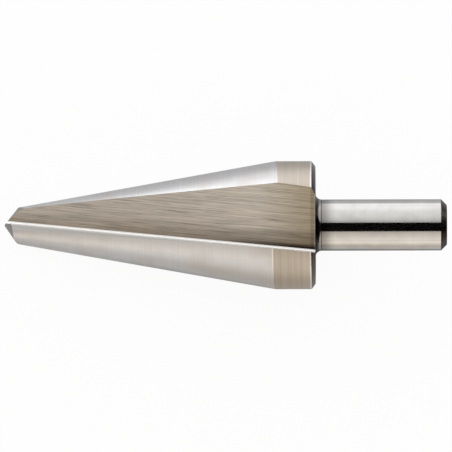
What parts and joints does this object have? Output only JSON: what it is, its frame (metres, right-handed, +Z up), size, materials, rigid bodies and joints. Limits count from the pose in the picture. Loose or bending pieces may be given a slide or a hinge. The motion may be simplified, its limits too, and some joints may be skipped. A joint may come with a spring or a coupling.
{
  "type": "cone drill bit",
  "caption": "Tapered drill bit for sheet metal: a straight-fluted cone with relieved lands, a short guide cylinder and a round shank.",
  "frame": {"origin": "centre of the bounding box on the surface that the bit lies on", "axes": "+X runs level from the tip towards the shank, +Z is up, +Y is to the left, seen from the tip"},
  "size_m": [0.0688, 0.02, 0.0182],
  "materials": {
    "high_speed_steel": "ground bright, uncoated"
  },
  "bodies": {
    "root": {"drill_bit": "high_speed_steel"}
  },
  "joints": []
}
